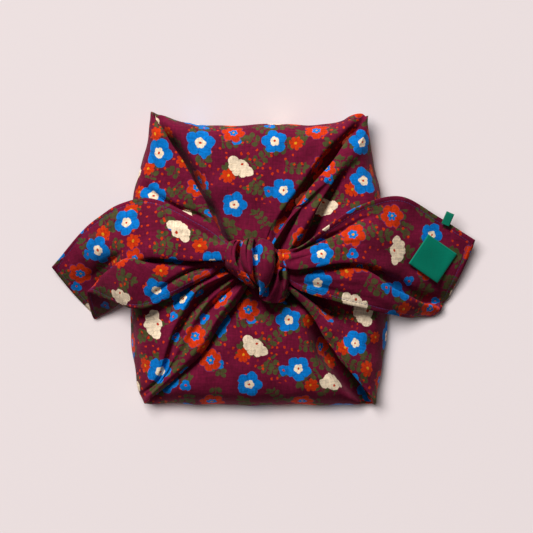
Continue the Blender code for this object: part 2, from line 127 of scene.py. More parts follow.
BUNDLE_FOLDS = dict(rows_in("""
top middle: -2.5 22 47, -1.5 49.5 46, -1 83 44, 0 110 38, 0 117 22
top right: 6 20 47, 16 49.5 46, 35 83 43, 52 110 38, 55 117.5 23
top shoulder, right: 5 21.5 46, 23.5 50.5 45.5, 51.5 89 42.5, 74.5 115.5 37.5, 74.5 121 28
top by right wing: 5.5 13.5 48, 26.5 49 37, 55.5 87 30, 79.5 114 31, 81 124.5 29
top under right wing: 7.5 12 47.5, 30.5 46 34, 60.5 83 25, 82.5 111.5 28, 87 125.5 29
upper right fold, inside: 9.5 9.5 49, 34 44.5 46.5, 63 80.5 43.5, 84 110 38, 90.5 123 30
upper right fold, edge: 7 12.5 52, 29.3 46 49.5, 59.5 84 45.5, 81.5 112.5 40, 91.5 124 32
upper right roll: 9.5 13 56, 31.3 45 52.8, 61 74 49.5, 86 104 42.5, 91.5 118.5 30
upper right dip: 15 11.5 45, 32.8 41.8 48, 61.8 71 49, 86 101 42.3, 92 115 29
upper right second fold: 23 8.5 54, 41 36.5 52, 63 67 48, 86.5 96.5 41.5, 93 107 27
upper right groove: 30.5 4 42, 46.5 29.5 39.5, 63.5 61.5 42.3, 86.5 87 40, 94.5 89 24
right wing, upper: 31 2 48, 54 20 47, 80.5 35.5 45.5, 98 49.5 40, 102.5 52 22
right wing, middle: 29 -2 49, 55.5 1.5 46, 80.5 1.5 43.5, 101 1.5 39, 106.5 1.5 20
right wing, lower: 24.5 -6.5 50, 53 -17.5 46, 78 -32 43, 98.5 -45.5 38, 106 -48.5 20
lower right groove: 31 -18.5 38, 46 -28 31.5, 68 -46.5 35.5, 90.5 -74 37, 102.5 -84 22
lower right roll: 29.5 -22 53, 43.5 -33 50, 64.5 -59 46, 88 -90 39.5, 99 -104 24
lower right fold, edge: 26 -22.5 51, 40.5 -38.5 48, 59.5 -69 44.5, 84 -99 38, 97.5 -116.5 28
lower right fold, inside: 27 -19.5 48, 43.5 -36 44.5, 63 -64.5 41.5, 85.5 -96 35.5, 96.5 -117 22
bottom under right wing: 26.5 -21.5 29, 41 -38 42.5, 60 -69 22, 84.5 -99 15, 93 -117.5 11
bottom by right wing: 21 -26.5 31, 36.5 -41.5 44, 54.5 -73 22, 78 -103.5 15.5, 89 -117.5 12
bottom shoulder, right: 15 -29.5 45, 31 -45 45, 46.5 -77.5 41.5, 68 -106 36.5, 82 -118 18
bottom right: 9.5 -31 46.5, 22 -47 45.5, 33.5 -74 43.5, 48 -109 37, 50 -118 20
bottom middle: 2.5 -32 47, 1 -48.5 46, -1 -76.5 44.5, -1.5 -110 38, -1.5 -118.5 20
bottom left: -4 -27 46.5, -17.5 -50.5 45.5, -34.5 -79 43.5, -47 -109 37, -49.5 -118 20
bottom by left wing: -8 -22.5 45, -25.5 -47.5 43.5, -44 -75.5 41.5, -76 -106.5 35.5, -86 -117.5 18
bottom under left wing: -12.5 -18.5 40, -33.5 -41 37, -53.5 -68.5 34.5, -83 -101 30, -91.5 -117.5 17
lower left fold, inside: -10 -20 45.5, -30 -44.5 42, -50.5 -71.5 39, -81.5 -103.5 34.5, -94.5 -117 22
lower left fold, edge: -9 -19.5 48, -28 -45.5 44.5, -46.5 -73.5 42, -78.5 -103.5 36.5, -96 -116.5 28
lower left roll: -11.5 -15 56, -32 -41.5 53, -51 -71 49, -81.5 -101.5 41, -97 -115 26
lower left valley: -16 -13.5 45, -38.5 -34.5 40, -57.5 -63.5 46, -83 -99 39.3, -98 -113 24
left low ridge: -19 -11.5 49.5, -42 -31 46.5, -62 -60 48, -81.5 -97 40.6, -98.5 -111.5 24
left valley: -22.5 -9.5 46, -46 -26.5 41.5, -67.3 -57 42.3, -82 -94.5 38.8, -99 -110 24
left ridge: -25.5 -8 53, -51 -21.5 53, -71.5 -54 48.8, -84.5 -92.5 41.8, -100 -107.5 24
left groove: -31 -2 46, -60 -16.5 41.5, -77 -50 44.6, -91 -86 39.8, -103.5 -87.5 22
left wing, lower: -32 0 50, -62 -12 45.5, -87.5 -28.5 43.5, -101.5 -48.5 38.5, -106.5 -50.5 20
left wing, middle: -32 3.5 50, -59.5 3.5 46, -85 3.5 43.5, -102.5 1.5 39, -108.5 1.5 20
left wing, upper: -31 12 51, -58 30 48, -83 52 46, -100 62 39.5, -104 64 21
left wing, top: -31 15 55, -54.5 43.5 50, -76.5 75.5 46.5, -89.5 96 40.5, -94.5 98.5 24
upper left roll: -31 17.5 57, -50.5 52 51.5, -69.5 86.5 47.5, -86.5 114 41.5, -91 120 29
upper left fold, edge: -27.5 18.5 54, -45.5 53 49, -64.5 87.5 45, -83 116 39.5, -90.5 127.5 31
upper left fold, inside: -30 14.5 50, -48.5 49.5 46, -68 84 43, -85 112.5 37.5, -89 126.5 29
top under left wing: -29 18 33, -47 52.5 24, -66 86.5 21, -84.5 115 26, -86.5 125.5 27
top by left wing: -26.5 19 38, -45 53.3 27, -64 87.8 24, -82 116.5 29.5, -82 124.5 27.5
top shoulder, left: -22.5 20.5 46.5, -38.5 55.5 45.5, -57 90 42.5, -75 117.5 36.5, -73 122 27
top left: -12.5 20 47, -22 51 46.5, -35 83 44, -45 109 38.5, -49.5 116 22
"""))

LEFT_TAIL_FOLDS = dict(rows_in("""
upper hem: -22.5 15 60, -36 27.5 58.5, -58 41 56, -90 54.5 51, -112.5 51 45, -142 33 30, -174.5 -2.5 13
upper panel: -22.5 12 63, -36 17.5 62, -58 24.5 60, -90 32 56, -115 27 49, -142 10 30, -167 -12 9
panel rim: -22 4.6 63, -33.5 3 62.5, -58 3 60.5, -90 5.8 57, -110 0.5 47.5, -129 -13.5 18, -155.5 -26 5
tucked fold, back: -20 6.5 57.5, -31 6 56, -56.5 7 53, -88 7 47, -105 -17 43.5, -121 -34.5 14,
    -138 -45 2
tucked fold, front: -18.5 3 55.5, -30 2 54.5, -56 3 51.5, -86 -2 48.5, -104.5 -23.5 48.5, -124.5 -38 17,
    -139.5 -45.5 6
front ridge, back: -17.5 2.5 56, -31 2 55.8, -56.5 0.5 54, -88 0.5 52, -109 3 52, -130 -9 38,
    -144 -25 23.5
front ridge, front: -17.5 1.5 56.7, -31 0.5 57, -56.5 -3 56, -88 -3 54.5, -108.5 3.5 56, -127.5 -9 42.5,
    -141.5 -23.5 27.5
front flap: -16 0.5 56, -31 -1.5 56, -56.5 -9 55.5, -85.5 -17 54, -105 -17 56.5, -117.5 -20 47,
    -129 -28 31
front hem: -14.5 -0.5 53.5, -31 -3.5 52.5, -54 -16.5 51.5, -79.5 -30.5 49, -95 -36.5 49.5,
    -105 -36.5 47.5, -112.5 -33.5 41
"""))

RIGHT_TAIL_FOLDS = dict(rows_in("""
upper hem: 16 12 59, 32 13.5 58, 55.5 30.5 57.2, 83 48 53.4, 117 56.5 41, 150.5 39.5 28, 181.5 20 23
hem groove: 16 9 60, 33 10.3 57.5, 57 23.5 55, 85.5 38.5 51.4, 118.5 43.5 40.5, 147 30 28, 179 12.5 21.5
upper panel: 16 6 62, 33.5 6 62, 58 13.5 61, 87.5 22 58, 118.5 23.5 41, 144.5 12 28.5, 174 1 19
lower panel: 17 2 62, 33.5 2 62, 60.5 9 61, 88 11 57.5, 117 5 39.5, 143.5 -8.5 24.5, 168 -11 16
panel rim: 17.5 -2 61, 33 -4.5 61, 62 0.5 60, 88 0.5 56, 115 -9 39, 140.5 -22 20.5, 163 -21 12.5
tucked fold, back: 19 0 57, 34 -2 55.5, 63 4 52.5, 87 2 48, 112.5 -12.5 35, 137 -26.5 17, 160 -27.5 9.5
tucked fold, front: 19 -5 55, 34 -7.5 53.5, 63 -2.5 51, 86.5 -4.5 47.5, 109.5 -19.5 36.5, 132 -32 17.5,
    155.5 -33 8.5
front ridge: 20 -8 55, 33.5 -10 55, 62.5 -5.5 54, 86.5 -5 52.5, 111 -19.5 44, 133.5 -31.5 27.5,
    153 -38.5 13
front flap: 21 -11 54.5, 33.5 -16 54, 62 -19 53.5, 86.5 -22 51.5, 108.5 -31 44.5, 130 -39.5 26,
    147 -43 9.5
front hem: 22.5 -13 53, 33 -21 51.5, 62 -30.5 49, 86.5 -36.5 46, 108.5 -41.5 38, 126 -44.5 21,
    140.5 -44.5 7.5
"""))

KNOT_FOLDS = dict(rows_in("""
left side: -31 17 50, -31.5 14.5 57, -31.5 6.5 58, -27 -3.5 57, -13.5 -15 55, -5 -21 50
first pleat: -24.5 17.5 52, -26 17.5 60, -25.5 7.5 67.5, -21 -3.5 69.5, -10 -13.5 65.5, -3.5 -20 54
first crest: -17.5 19.5 54, -20 19.5 62, -22 9 69.5, -17.5 -1.5 72, -8.5 -12 68, -2.5 -19.5 55.5
first groove: -11 20 52, -14.5 18.5 59, -17 10 65, -15.5 0 67.5, -8.5 -11 64.5, -1.5 -18.5 54.5
second pleat: -6.5 22 54, -9 21 63, -11 10 71, -9 -1 73.5, -5 -11 69.5, -1 -18.5 56.5
second groove: -1.5 21 53, -3 18.5 61, -3.5 10 67, -3 0 69, -2 -11 65.5, 0 -18.5 55.5
third pleat: 4 21 54, 3.5 20 63, 3.5 10 71.5, 3.5 0 74, 1.8 -12 71.5, 0.5 -22.5 60
band edge: 10 17.5 53, 11 17.5 60, 12 10 68.5, 12 0 71, 7.8 -14 69, 0.5 -27.5 59
under the band: 11.5 13.5 50, 12.8 13.5 52, 14.3 8.5 54, 14.3 -1.5 54, 10.5 -15.5 56, 2.5 -29.5 57
end pleat: 13.5 12 50, 15 12 56, 16.5 6 62, 16.7 -3.5 63, 13.5 -18.5 62.5, 7 -32.2 56
end groove: 17 10 49, 17.5 10 54, 19.5 3.5 59, 19.5 -5 60, 18 -19.5 59, 13.5 -32.5 54
end strand: 18.5 9 49, 19.5 9 54, 22 1.5 60, 22.7 -7.5 61, 21.7 -20 58.5, 17.5 -32 53
right side: 20 7.5 48, 21 6.5 50, 24.5 -1.5 51, 25.5 -11 50, 24.7 -21 49, 21 -31 46
"""))
print("folds:", len(BUNDLE_FOLDS), len(LEFT_TAIL_FOLDS), len(RIGHT_TAIL_FOLDS), len(KNOT_FOLDS))

# %% [markdown]
# ## From folds to a surface
# A smooth curve is drawn through the points of each fold, and another through the folds, from neighbour
# to neighbour. A centripetal Catmull-Rom curve suits cloth: it passes through every point, keeps a tight
# fold tight, and never swings out past its points.


# %% Curves through points, and grids through folds
def spacing(start, end):
    """The curve's step between two points: the root of their distance, never quite nothing."""
    return np.sqrt(np.maximum(np.linalg.norm(end - start, axis=-1, keepdims=True), 1e-7))


def mix(start, end, share):
    return start * (1 - share) + end * share


def smooth(points, steps, closed=False):
    """Points along a smooth curve through the given rows, with this many steps from row to row."""
    if closed:
        padded = np.concatenate([points[-1:], points, points[:2]])
    else:
        padded = np.concatenate([2 * points[:1] - points[1:2], points, 2 * points[-1:] - points[-2:-1]])
    found = []
    for p0, p1, p2, p3 in zip(padded, padded[1:], padded[2:], padded[3:]):
        t1 = spacing(p0, p1)
        t2 = t1 + spacing(p1, p2)
        t3 = t2 + spacing(p2, p3)
        for step in range(steps):
            t = t1 + (t2 - t1) * step / steps
            share = (t - t1) / (t2 - t1)
            a1, a2, a3 = mix(p0, p1, t / t1), mix(p1, p2, share), mix(p2, p3, (t - t2) / (t3 - t2))
            found.append(mix(mix(a1, a2, t / t2), mix(a2, a3, (t - t1) / (t3 - t1)), share))
    if not closed:
        found.append(points[-1])
    return np.array(found)


def smooth_both_ways(grid, along, across, closed=False):
    """A grid of folds drawn finer: first along each fold, then from fold to fold."""
    return smooth(np.swapaxes(smooth(np.swapaxes(grid, 0, 1), along), 0, 1), across, closed)


def grid_of(folds):
    return np.array(list(folds.values())) * MM


def upper_side(grid, closed=False):
    """The direction out of the cloth's upper side at each point, and whether the rows run the other way."""
    if closed:
        across = np.roll(grid, -1, axis=0) - np.roll(grid, 1, axis=0)
    else:
        across = np.gradient(grid, axis=0)
    normal = np.cross(across, np.gradient(grid, axis=1))
    normal = normal / np.maximum(np.linalg.norm(normal, axis=2, keepdims=True), 1e-12)
    facing = np.sign(normal[1, :, 2].mean())
    return normal * facing, facing < 0


def run_along(points, axis=0):
    """How far each point lies from the first, measured along its row."""
    steps = np.diff(points, axis=axis, prepend=np.take(points, [0], axis=axis))
    return np.cumsum(np.linalg.norm(steps, axis=-1), axis=axis)


# %% [markdown]
# ## Creases and puckers
# Cloth that is pulled into a knot is never smooth between its main folds. Small creases fan out from the
# knot and die away. Each is a line seen from above, with a depth and a width, pressed into the surface
# as a soft trough, or raised as a soft ridge where its depth is negative.


# %% Pressing creases into a surface
def pressed(grid, creases, closed=False):
    """The grid with its creases pressed in. Only what faces up takes them."""
    places = grid[..., :2].reshape(-1, 2) / MM
    depth = np.zeros(len(places))
    for sizes, line in rows_in(creases):
        crease_depth, width = map(float, sizes.split())
        line = smooth(np.array(line), 4)
        steps, run = np.diff(line, axis=0), run_along(line)
        nearest = np.full(len(places), 1e9)
        share = np.zeros(len(places))
        for start, step, length, before in zip(line, steps, np.linalg.norm(steps, axis=1), run):
            along = np.clip((places - start) @ step / length**2, 0, 1)
            away = np.linalg.norm(places - start - along[:, None] * step, axis=1)
            closer = away < nearest
            nearest = np.where(closer, away, nearest)
            share = np.where(closer, (before + along * length) / run[-1], share)
        depth += crease_depth * np.exp(-((nearest / width) ** 2)) * np.sin(np.pi * share**0.6)
    normal, _ = upper_side(grid, closed)
    up = np.clip(normal[..., 2:] * 2, 0, 1)
    return grid - normal * up * depth.reshape(*grid.shape[:2], 1) * MM


def rumpled(grid, waves, closed=False):
    """The grid with gentle waves of its own: each has a height, a length, a direction and a start."""
    x, y = grid[..., 0] / MM, grid[..., 1] / MM
    height = np.zeros(x.shape)
    for high, length, direction, start in waves:
        cosine, sine = np.cos(np.radians(direction)), np.sin(np.radians(direction))
        bend = np.sin(2 * np.pi * (y * cosine - x * sine) / (length * 2.6) + start * 1.7)
        height += high * np.sin(2 * np.pi * (x * cosine + y * sine) / length + start + bend)
    return grid + upper_side(grid, closed)[0] * height[..., None] * MM


# %% [markdown]
# ## Laying the cloth flat for its print
# Cloth is printed flat, and then the print bends with the folds. So each surface gets a map: where each
# of its points lies on the flat cloth, in metres. Blender's Minimum Stretch unwrap works that out, in
# any size and turn. The map is then scaled to the cloth's true size, and turned to lie as the cloth does.


# %% Unwrapping to true size
def read(things, what, wide=1, kind=float):
    """One property of many mesh elements, as an array."""
    values = np.zeros(len(things) * wide, dtype=kind)
    things.foreach_get(what, values)
    return values


def corners_of(mesh):
    return read(mesh.loops, "vertex_index", kind=int)


def make_piece(name, points, faces):
    mesh = bpy.data.meshes.new(name)
    mesh.from_pydata([tuple(point) for point in points], [], faces)
    mesh.shade_smooth()
    thing = bpy.data.objects.new(name, mesh)
    bpy.context.scene.collection.objects.link(thing)
    return thing


def quads_of(grid):
    """The four corners of each square of a grid."""
    return np.stack([grid[:-1, :-1], grid[1:, :-1], grid[1:, 1:], grid[:-1, 1:]], axis=2)


def grid_faces(rows, columns, closed=False, first=0, flipped=False):
    """Quads between neighbouring rows of a grid whose points are numbered row by row."""
    point = np.arange(rows * columns).reshape(rows, columns) + first
    quads = quads_of(np.concatenate([point, point[:1]]) if closed else point).reshape(-1, 4)
    return (quads[:, ::-1] if flipped else quads).tolist()


def between(coarse):
    """A grid with one more row between each two, and one more column, halfway."""
    for axis in (0, 1):
        rows = np.moveaxis(coarse, axis, 0)
        fine = np.zeros((len(rows) * 2 - 1, *rows.shape[1:]))
        fine[::2], fine[1::2] = rows, (rows[1:] + rows[:-1]) / 2
        coarse = np.moveaxis(fine, 0, axis)
    return coarse


def lay_flat(fine, flipped):
    """Where each point of a sheet lies on the flat cloth, in metres, and the sheet's area. It unwraps every
    second row and column, which is quick, and puts the others halfway."""
    grid = fine[::2, ::2]
    rows, columns = grid.shape[:2]
    points = grid.reshape(-1, 3)
    sheet = make_piece("sheet_to_unwrap", points, grid_faces(rows, columns, flipped=flipped))
    bpy.ops.object.select_all(action="DESELECT")
    sheet.select_set(True)
    bpy.context.view_layer.objects.active = sheet
    bpy.ops.object.mode_set(mode="EDIT")
    bpy.ops.mesh.select_all(action="SELECT")
    bpy.ops.uv.unwrap(method="MINIMUM_STRETCH", iterations=12, margin=0.001)
    bpy.ops.object.mode_set(mode="OBJECT")
    mesh = sheet.data
    flat = np.zeros((rows * columns, 2))
    flat[corners_of(mesh)] = read(mesh.uv_layers.active.data, "uv", 2).reshape(-1, 2)
    area = sum(face.area for face in mesh.polygons)
    bpy.data.objects.remove(sheet)
    ring = flat.reshape(rows, columns, 2)
    first, second = ring[1:, 1:] - ring[:-1, :-1], ring[1:, :-1] - ring[:-1, 1:]
    flat_area = np.abs(first[..., 0] * second[..., 1] - first[..., 1] * second[..., 0]).sum() / 2
    middle = points[:, :2].mean(axis=0)
    flat, place = flat - flat.mean(axis=0), points[:, :2] - middle
    turn = np.arctan2((flat[:, 0] * place[:, 1] - flat[:, 1] * place[:, 0]).sum(), (flat * place).sum())
    turned = flat @ np.array([[np.cos(turn), np.sin(turn)], [-np.sin(turn), np.cos(turn)]])
    flat = turned * np.sqrt(area / flat_area) + middle
    return between(flat.reshape(rows, columns, 2)).reshape(-1, 2), area


PRINT_SHIFTS = {"left_tail": (0.084, -0.195), "right_tail": (0.077, -0.015), "knot": (-0.056, 0.007)}


def add_measures(thing, flat, hem=1.0, run=0.0, wrong_side=0.0):
    """Gives the piece its map, one place on the flat cloth for each corner of each face, and three numbers
    at each point: how far off the sewn edge is, how far along that edge, and 1 on the wrong side. The
    folded cloth shows other parts of the print at the knot and the tails, so their maps are moved over."""
    cloth_map = thing.data.uv_layers.new(name="cloth")
    cloth_map.data.foreach_set("uv", (flat + np.array(PRINT_SHIFTS.get(thing.name, (0, 0)))).reshape(-1))
    for name, values in (("hem", hem), ("run", run), ("wrong_side", wrong_side)):
        held = thing.data.attributes.new(name, "FLOAT", "POINT")
        held.data.foreach_set("value", np.full(len(thing.data.vertices), values, dtype=np.float32))


# %% [markdown]
# ## The bundle
# The bundle is the cloth drawn tight over a soft gift: a flap folded in from the top, one from the
# bottom, and a wing from each side over them. It is one closed, padded form. Its skin is lofted over
# the table of folds and carried round the sides to a flat underside. Lofting keeps the rolled edges of
# the wings crisp, where a blown-up simulated skin would round them off.

# %% The skin of the bundle
HIP_HEIGHT = 6.0
HIP_INSET = 2.0
FOOT_INSET = 7.0
CORNER_RADIUS = 16.0
BASE_HALF = (106.0, 117.5)
WIDTHS = {  # how wide the bundle is, as a share, from its bottom edge to its top
    -118: 0.935, -99: 0.97, -82: 1.0, -58: 1.03, -48: 1.04, 40: 1.0,
    60: 0.975, 75: 0.945, 88: 0.93, 100: 0.89, 120: 0.87,
}
KNOT_SEAT = (-0.003, -0.002, 0.046)  # where all folds meet, hidden by the knot, in metres
PANELS = {  # the fold where each panel of cloth starts, and how far its print is moved, in metres
    "top under right wing": (0.219, 0.087),
    "bottom under right wing": (0.022, 0.073),
    "bottom under left wing": (-0.015, 0.011),
    "top under left wing": (0.033, -0.057),
}
BUNDLE_STEPS = (20, 14)
BUNDLE_WAVES = [(0.35, 46, 20, 0.4), (0.3, 31, 95, 1.9), (0.22, 23, 150, 4.2)]
# Each row of a table of creases: depth and width, and then the line, all in millimetres.
BUNDLE_CREASES = """
5.5 2.4: 71 78, 66.5 69.5, 61.5 61.5, 55.5 51, 48.5 37, 42.5 25, 37 16, 32 9
4 1.8: 36.5 54, 31.5 44, 27.5 35, 22.5 25, 20 15.5
3 3: 31 -17, 43.5 -27, 54 -34.5, 65.5 -43.5, 76.5 -55.5
5 2: -98.5 65.5, -90 60, -81.5 54.3, -73 49.2, -64.7 45, -56.3 42.3, -48 38.5, -39.5 32.6, -32 26
1.2 6: 2.5 -30, -4 -43, -16 -55.5, -26 -68
1.2 5: -101 -55.5, -91.5 -68, -88 -85, -91.5 -101.5
1 6: 97.5 -30, 91.5 -51, 94 -72, 90 -93
1 6: 34.5 104, 22 87.5, 17.5 66.5, 7.5 49.5
1 5: -16 24.5, -13.5 49.5, -17.5 66.5, -14.5 87.5
1.2 4: -94 96, -83 75, -69.5 57, -53 42
1.2 4: 76.5 87.5, 72 66.5, 78 54
"""


def base_outline(angles, inset):
    """Points on the underside's rounded rectangle, in these directions from its middle."""
    half = np.array(BASE_HALF) - inset
    direction = np.stack([np.cos(angles), np.sin(angles)], axis=1)
    straight = direction / np.max(np.abs(direction) / half, axis=1, keepdims=True)
    centre = np.clip(straight, CORNER_RADIUS - half, half - CORNER_RADIUS)
    away = straight - centre
    reach = np.maximum(np.linalg.norm(away, axis=1, keepdims=True), 1e-9)
    place = centre + away * np.minimum(1.0, CORNER_RADIUS / reach)
    wide = np.interp(place[:, 1], list(WIDTHS), list(WIDTHS.values()))
    return place * np.column_stack([wide, np.ones(len(place))])


def bundle_rows():
    """The folds' rows, each carried on round the side to the rim of the flat underside."""
    rows = grid_of(BUNDLE_FOLDS) / MM
    sides = rows[:, -1]
    angles = np.unwrap(np.arctan2(sides[:, 1], sides[:, 0]))
    for row in range(1, len(angles)):
        angles[row] = min(angles[row], angles[row - 1] - np.radians(0.35))
    hip = np.column_stack([base_outline(angles, HIP_INSET), np.full(len(rows), HIP_HEIGHT)])
    foot = np.column_stack([base_outline(angles, FOOT_INSET), np.zeros(len(rows))])
    return np.concatenate([rows, hip[:, None], foot[:, None]], axis=1) * MM


def build_bundle():
    grid = smooth_both_ways(bundle_rows(), *BUNDLE_STEPS, closed=True)
    grid = pressed(rumpled(grid, BUNDLE_WAVES, closed=True), BUNDLE_CREASES, closed=True)
    grid[:, :, 2] = np.maximum(grid[:, :, 2], 0.0)
    grid[:, -1, 2] = 0.0
    rows, columns = grid.shape[:2]
    points = np.concatenate([grid.reshape(-1, 3), [KNOT_SEAT, (0, 0, 0)]])
    faces = grid_faces(rows, columns, closed=True)
    top = rows * columns
    for row in range(rows):
        here, after = row * columns, (row + 1) % rows * columns
        faces.append((top, after, here))
        faces.append((top + 1, here + columns - 1, after + columns - 1))
    bundle = make_piece("bundle", points, faces)

    flat = points[corners_of(bundle.data)][:, :2]
    skin = flat[: rows * (columns - 1) * 4].reshape(rows, columns - 1, 4, 2)
    seams = [list(BUNDLE_FOLDS).index(name) * BUNDLE_STEPS[1] for name in PANELS]
    for seam, after, shift in zip(seams, seams[1:] + [seams[0] + rows], PANELS.values()):
        panel = np.take(grid, range(seam, after + 1), axis=0, mode="wrap")
        places, _ = lay_flat(panel, False)
        skin[np.arange(seam, after) % rows] = quads_of(places.reshape(*panel.shape[:2], 2) + np.array(shift))
    add_measures(bundle, flat)
    return bundle


bundle = build_bundle()
print("bundle:", len(bundle.data.polygons), "faces")

# %% [markdown]
# ## The tails
# The two free corners are single sheets of cloth. Each folds back and forth once as it leaves the knot:
# a wide panel behind, a dark tucked fold, and a narrower front flap. A sheet is lofted over the tail's
# folds and given two sides. Along its edges the cloth is turned over twice and sewn down, so the hem is
# thicker than the rest.

# %% The sheets of the tails
CLOTH = 0.9  # millimetres
HEM = 0.8  # what the hem adds
HEM_WIDTH = 4.6
HEM_SLOPE = 0.35  # over how far the hem's thickness fades out
TAIL_STEPS = (18, 14)
LEFT_TAIL_WAVES = [(0.35, 38, 70, 0.3), (0.25, 24, 20, 2.2)]
RIGHT_TAIL_WAVES = [(0.35, 36, 110, 1.1), (0.25, 25, 165, 3.0)]
LEFT_TAIL_CREASES = """
5.4 2.1: -24.5 -0.5, -38 -1.5, -51 -4, -69 -12.5, -83 -22, -95 -29.5
-1.4 2: -27.5 -5.5, -35.5 -6.5, -48.5 -10, -65.5 -18.5, -80 -27.5, -91.5 -33.5
2.6 2.6: -113.5 10, -122.5 4, -132 -2.5, -139.5 -9, -147 -16
2.2 2.8: -30 16.5, -45.5 25, -56 31.5, -66.5 35.3, -79 37, -91.5 37.8
-0.8 2.4: -26 11, -45.5 13.5, -66.5 16, -87.5 16
1.2 4: -91.5 41, -110 35.5, -127 24.5, -140.5 10
1 4: -118.5 30, -137 15, -150.5 -3.5
"""
RIGHT_TAIL_CREASES = """
4.2 1.3: 27 8.5, 34.5 11.8, 43 16, 55.5 21.8, 68 27.7, 78 33.4, 86.5 37.5, 101.5 41
4 1.5: 18.5 13, 19.8 10, 21.2 1.7, 23 -6.7, 25.2 -13.4, 27 -17
-0.9 1.8: 26 6.5, 38 11, 51 17, 64 22, 76.5 27
1.8 2.2: 24.5 1.5, 41 7.5, 59.5 14.5, 78 17.5, 97.5 17
1.4 2.6: 24.5 -15, 43 -17.5, 64 -22.5, 85 -27.5, 106 -33
-1 2.6: 24.5 -3.5, 43 -10, 64 -12.5, 85 -14.5, 106 -22
1.4 4: 106 41, 118.5 27, 127 10, 128.5 -9
"""


def hem_measures(grid):
    """For each point: how far it is from the nearest sewn edge, and how far along that edge."""
    from_first, run = run_along(grid, 0), run_along(grid, 1)
    choices = np.stack([from_first, from_first[-1] - from_first, run[:, -1:] - run])
    runs = np.stack([np.broadcast_to(run[:1], run.shape), np.broadcast_to(run[-1:], run.shape), from_first])
    nearest = choices.argmin(axis=0)[None]
    return np.take_along_axis(choices, nearest, 0)[0], np.take_along_axis(runs, nearest, 0)[0]


def rim_of(rows, columns):
    """The points round the edge of a grid, in order."""
    point = np.arange(rows * columns).reshape(rows, columns)
    return np.concatenate([point[0], point[1:, -1], point[-1, -2::-1], point[-2:0:-1, 0]]).tolist()


def band(rim, other_rim, flipped):
    """Quads that close the gap from one rim to another, with their faces outward."""
    quads = zip(rim, rim[1:] + rim[:1], other_rim[1:] + other_rim[:1], other_rim)
    return [quad[::-1] if flipped else quad for quad in quads]


def two_sided(name, grid, thickness, hem, run):
    """A sheet with two sides and closed edges, and its area. The grid runs midway between the sides."""
    rows, columns = grid.shape[:2]
    side, flipped = upper_side(grid)
    out = side * (thickness[..., None] * MM / 2)
    flat, area = lay_flat(grid, flipped)
    points = np.concatenate([(grid + out).reshape(-1, 3), (grid - out).reshape(-1, 3)])
    lower = rows * columns
    rim = rim_of(rows, columns)
    faces = grid_faces(rows, columns, flipped=flipped)
    faces += grid_faces(rows, columns, first=lower, flipped=not flipped)
    faces += band(rim, [lower + point for point in rim], flipped)
    sheet = make_piece(name, points, faces)
    hem, run = np.tile(hem.reshape(-1), 2), np.tile(run.reshape(-1), 2)
    add_measures(sheet, flat[corners_of(sheet.data) % lower], hem, run, np.repeat([0.0, 1.0], lower))
    return sheet, area


def build_tail(name, folds, creases, waves):
    grid = smooth_both_ways(grid_of(folds), *TAIL_STEPS)
    grid = pressed(rumpled(grid, waves), creases)
    hem, run = hem_measures(grid)
    turned = 1 / (1 + np.exp((hem / MM - HEM_WIDTH) / HEM_SLOPE))
    return two_sided(name, grid, CLOTH + HEM * turned, hem, run)


left_tail, left_area = build_tail("left_tail", LEFT_TAIL_FOLDS, LEFT_TAIL_CREASES, LEFT_TAIL_WAVES)
right_tail, right_area = build_tail("right_tail", RIGHT_TAIL_FOLDS, RIGHT_TAIL_CREASES, RIGHT_TAIL_WAVES)
print("cloth in the tails, in square metres:", round(left_area, 4), round(right_area, 4))

# %% [markdown]
# ## The knot
# The knot is a wide band of gathered cloth drawn over the two tails. Its pleats make it read as cloth:
# round ridges with narrow, dark grooves between them, squeezed together where the band tucks under. The
# pleats are lofted from their own table, and the grooves are pressed in after.

# %% The pleated band
KNOT_STEPS = (20, 16)
KNOT_FLOOR = 38.0
KNOT_CREASES = """
11 1: -9 29, -11.5 22.7, -15.2 17.5, -17.2 11, -16.8 2, -13.5 -5.5, -9.5 -12, -5.5 -20
-1.2 1.6: -7.5 26, -10.5 19.5, -14 10, -13 1, -8.5 -8.5
11 1: 0.5 29, -1.7 22.5, -2.8 17.5, -3.3 10, -2.9 0, -2.7 -7, -2 -20
-1 1.6: 4 25, 2.5 17.5, 1.5 7.5, 1 -3.5, 1.5 -17
3.6 0.9: -22.5 23.5, -22.5 17.5, -21.5 8.5
2.6 0.9: -16 23.5, -21 14.5, -22.5 3.5, -17.5 -5
2.6 0.9: -6 26, -9 16, -9.5 5, -7.5 -6.5
8 1.1: 13.5 8.5, 15.3 4, 17.4 -3.4, 19.2 -13.4, 21.5 -26
1.8 2.4: 4 13, 3 4, 2.7 -5, 1.5 -14
"""


def build_knot():
    grid = pressed(smooth_both_ways(grid_of(KNOT_FOLDS), *KNOT_STEPS), KNOT_CREASES)
    rows, columns = grid.shape[:2]
    _, flipped = upper_side(grid)
    points = grid.reshape(-1, 3)
    rim = rim_of(rows, columns)
    foot = points[rim] * (1, 1, 0) + (0, 0, KNOT_FLOOR * MM)
    foot_rim = list(range(len(points), len(points) + len(rim)))
    faces = grid_faces(rows, columns, flipped=flipped) + band(rim, foot_rim, flipped)
    faces.append(foot_rim[::-1] if flipped else foot_rim)
    knot = make_piece("knot", np.concatenate([points, foot]), faces)
    flat, _ = lay_flat(grid, flipped)
    flat = np.concatenate([flat, flat[rim]])
    add_measures(knot, flat[corners_of(knot.data)])
    return knot


knot = build_knot()
print("knot:", len(knot.data.polygons), "faces")

# %% [markdown]
# ## Arithmetic in a material
# A print drawn with numbers needs long sums of distances and angles, and each step is a Math node. This
# helper lets a sum be written as a line of arithmetic, and makes and joins the nodes for it, so that
# the shape of a petal can be read from its formula.

# %% Sums made of Math nodes
RIM = 0.0003  # how soft the edge of a printed shape is, in metres
CHOICE = 0.01  # how soft a choice by chance is


